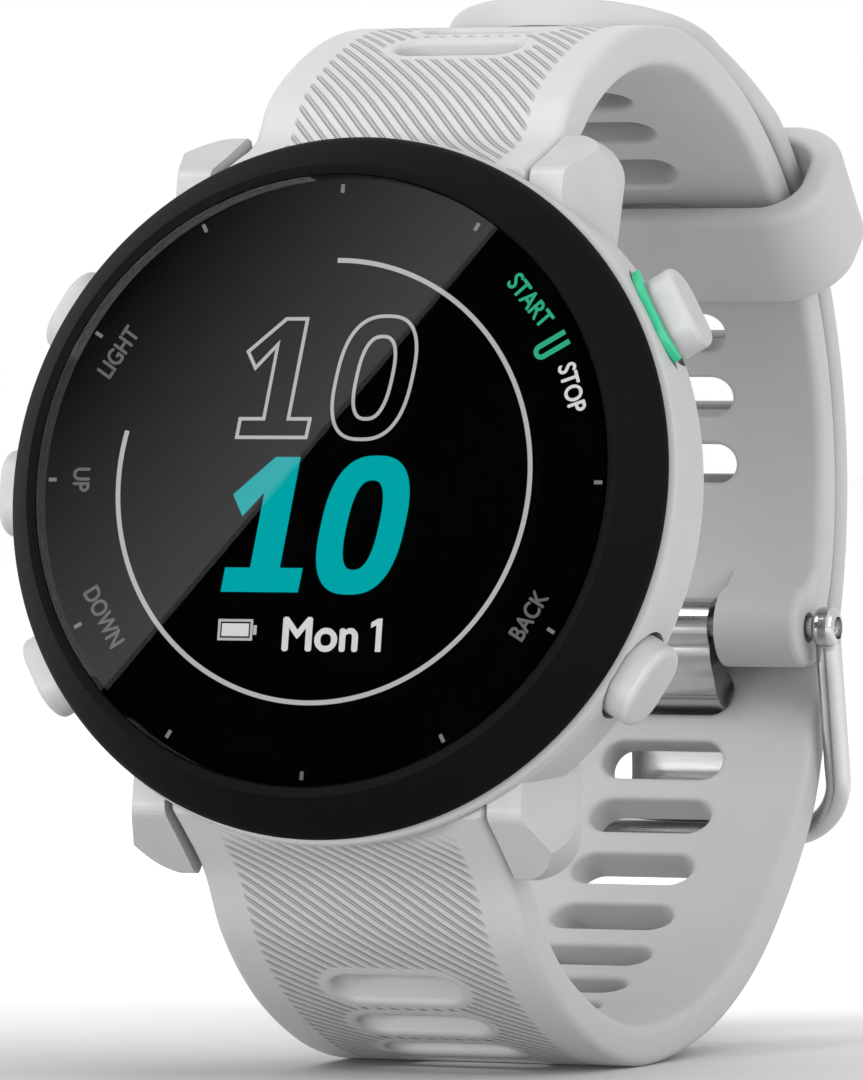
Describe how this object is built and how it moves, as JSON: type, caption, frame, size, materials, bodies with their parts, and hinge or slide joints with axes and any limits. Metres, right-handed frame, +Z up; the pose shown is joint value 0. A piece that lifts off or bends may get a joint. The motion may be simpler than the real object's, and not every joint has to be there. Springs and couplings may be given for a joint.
{
  "type": "gps running watch",
  "caption": "Round-dial running watch with side buttons, worn buckled: a slotted silicone strap, sliding keeper and steel pin buckle.",
  "frame": {"origin": "centre of the sensor window's flat rear face, which rests on the wrist", "axes": "+Z up with the watch standing as worn on a vertical stand, +X towards three o'clock, the dial faces -Y and leans back ten degrees"},
  "size_m": [0.0434, 0.0643, 0.0644],
  "materials": {
    "silicone": "soft matt white-grey silicone",
    "polymer": "matt white-grey fibre-filled polymer",
    "black_polymer": "satin black",
    "green_polymer": "satin green",
    "glass": "polished, dark",
    "display": "dark display face",
    "steel": "bright satin",
    "gold": "gold plated",
    "rubber": "matt black",
    "board": "solder-masked circuit board",
    "cell": "plain metal can",
    "light_guide": "milky light guide"
  },
  "bodies": {
    "case": {"back_cover": "polymer", "back_gasket": "rubber", "back_screw_1": "steel", "back_screw_2": "steel", "back_screw_3": "steel", "back_screw_4": "steel", "back_switch": "black_polymer", "backlight_panel": "light_guide", "battery": "cell", "bezel": "black_polymer", "case_shell": "polymer", "charge_contact_1": "gold", "charge_contact_2": "gold", "charge_contact_3": "gold", "charge_contact_4": "gold", "display_panel": "display", "down_switch": "black_polymer", "gps_antenna": "gold", "led_left": "gold", "led_right": "gold", "lens": "glass", "lens_gasket": "rubber", "light_switch": "black_polymer", "lower_spring_bar": "steel", "main_board": "board", "photodiode": "gold", "sensor_board": "board", "sensor_window": "glass", "start_accent": "green_polymer", "start_switch": "black_polymer", "up_switch": "black_polymer", "upper_spring_bar": "steel", "vibration_motor": "cell"},
    "upper_strap": {"upper_strap": "silicone"},
    "lower_strap": {"lower_strap": "silicone"},
    "keeper": {"keeper": "silicone"},
    "buckle": {"buckle_frame": "steel", "buckle_bar": "steel"},
    "tongue": {"tongue": "steel"},
    "upper_release": {"upper_release_pin": "steel"},
    "lower_release": {"lower_release_pin": "steel"},
    "start_press": {"start_button": "polymer", "start_button_clip": "steel"},
    "back_press": {"back_button": "polymer", "back_button_clip": "steel"},
    "light_press": {"light_button": "polymer", "light_button_clip": "steel"},
    "up_press": {"up_button": "polymer", "up_button_clip": "steel"},
    "down_press": {"down_button": "polymer", "down_button_clip": "steel"}
  },
  "joints": [
    {"name": "start_button_push", "type": "slide", "parent": "case", "child": "start_press", "axis": [-0.866, -0.0868, -0.4924], "range_m": [0, 0.0006], "stiffness_N_per_m": 1500, "springref_m": -0.0004},
    {"name": "back_button_push", "type": "slide", "parent": "case", "child": "back_press", "axis": [-0.866, 0.0868, 0.4924], "range_m": [0, 0.0006], "stiffness_N_per_m": 1500, "springref_m": -0.0004},
    {"name": "light_button_push", "type": "slide", "parent": "case", "child": "light_press", "axis": [0.866, -0.0868, -0.4924], "range_m": [0, 0.0006], "stiffness_N_per_m": 1500, "springref_m": -0.0004},
    {"name": "up_button_push", "type": "slide", "parent": "case", "child": "up_press", "axis": [1, 0, 0], "range_m": [0, 0.0006], "stiffness_N_per_m": 1500, "springref_m": -0.0004},
    {"name": "down_button_push", "type": "slide", "parent": "case", "child": "down_press", "axis": [0.866, 0.0868, 0.4924], "range_m": [0, 0.0006], "stiffness_N_per_m": 1500, "springref_m": -0.0004},
    {"name": "upper_release_pull", "type": "slide", "parent": "case", "child": "upper_release", "axis": [-1, 0, 0], "range_m": [0, 0.0012], "stiffness_N_per_m": 800, "springref_m": -0.0008},
    {"name": "lower_release_pull", "type": "slide", "parent": "case", "child": "lower_release", "axis": [-1, 0, 0], "range_m": [0, 0.0012], "stiffness_N_per_m": 800, "springref_m": -0.0008},
    {"name": "upper_strap_swing", "type": "hinge", "parent": "case", "child": "upper_strap", "pos_m": [0, -0.00001, 0.0195], "axis": [1, 0, 0], "range_deg": [-0.4, 0]},
    {"name": "lower_strap_swing", "type": "hinge", "parent": "case", "child": "lower_strap", "pos_m": [0, -0.00668, -0.01832], "axis": [1, 0, 0], "range_deg": [-0.195, 0]},
    {"name": "buckle_swing", "type": "hinge", "parent": "upper_strap", "child": "buckle", "pos_m": [0, 0.04255, -0.0078], "axis": [1, 0, 0], "range_deg": [0, 3.11]},
    {"name": "tongue_swing", "type": "hinge", "parent": "upper_strap", "child": "tongue", "pos_m": [0, 0.04255, -0.0078], "axis": [1, 0, 0], "range_deg": [0, 3.11]},
    {"name": "keeper_slide", "type": "hinge", "parent": "upper_strap", "child": "keeper", "pos_m": [0, 0.01477, -0.00475], "axis": [1, 0, 0], "range_deg": [-2.48, 2.48]}
  ],
  "couplings": [
    {"joint": "lower_strap_swing", "follows": "upper_strap_swing", "ratio": 0.4779},
    {"joint": "buckle_swing", "follows": "upper_strap_swing", "ratio": -7.706},
    {"joint": "tongue_swing", "follows": "upper_strap_swing", "ratio": -7.706}
  ]
}
